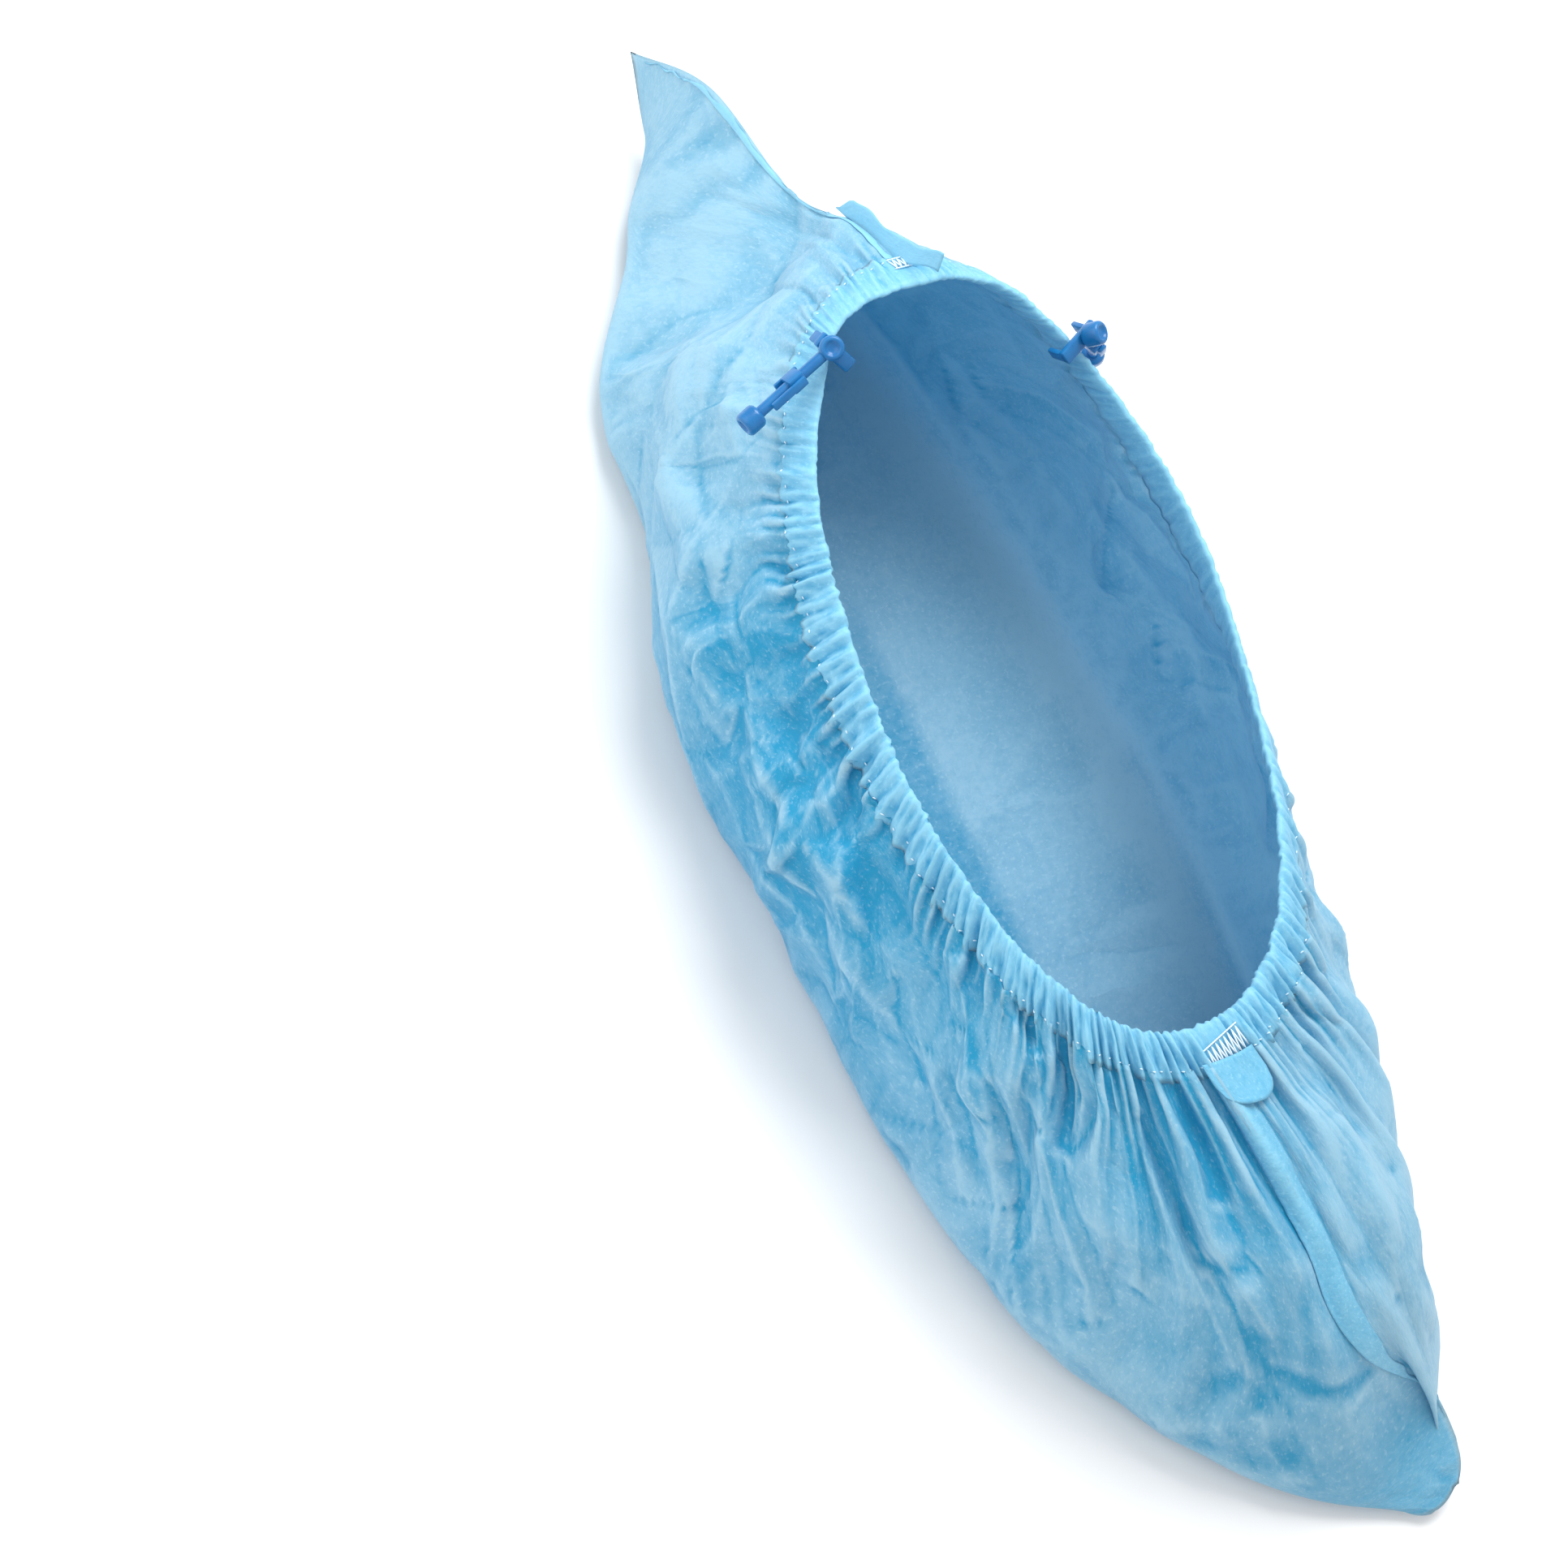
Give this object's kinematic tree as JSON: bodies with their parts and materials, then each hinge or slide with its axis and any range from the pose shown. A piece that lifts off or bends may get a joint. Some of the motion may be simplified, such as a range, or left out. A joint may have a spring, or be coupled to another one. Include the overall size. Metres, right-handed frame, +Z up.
{
  "type": "disposable shoe cover",
  "caption": "Disposable nonwoven shoe cover, open at its gathered elastic mouth, with a pointed heel fin and plastic hanging clips on the hem.",
  "frame": {"origin": "centre of the bounding box on the ground, under the sole", "axes": "+Z up out of the mouth, +Y towards the heel fin, -Y towards the toe, -X the near side and +X the far side"},
  "size_m": [0.1196, 0.385, 0.0867],
  "materials": {
    "nonwoven": "thin blue spunbond nonwoven, slightly see-through, with a fine bonded grain",
    "nonwoven_doubled": "the same blue nonwoven in two or more layers, so denser in colour",
    "clip_plastic": "glossy moulded blue plastic"
  },
  "bodies": {
    "root": {"cover_shell": "nonwoven", "elastic_hem": "nonwoven_doubled", "toe_seam": "nonwoven_doubled", "heel_seam": "nonwoven_doubled", "hanging_clip_near": "clip_plastic", "hanging_clip_far": "clip_plastic"}
  },
  "joints": []
}
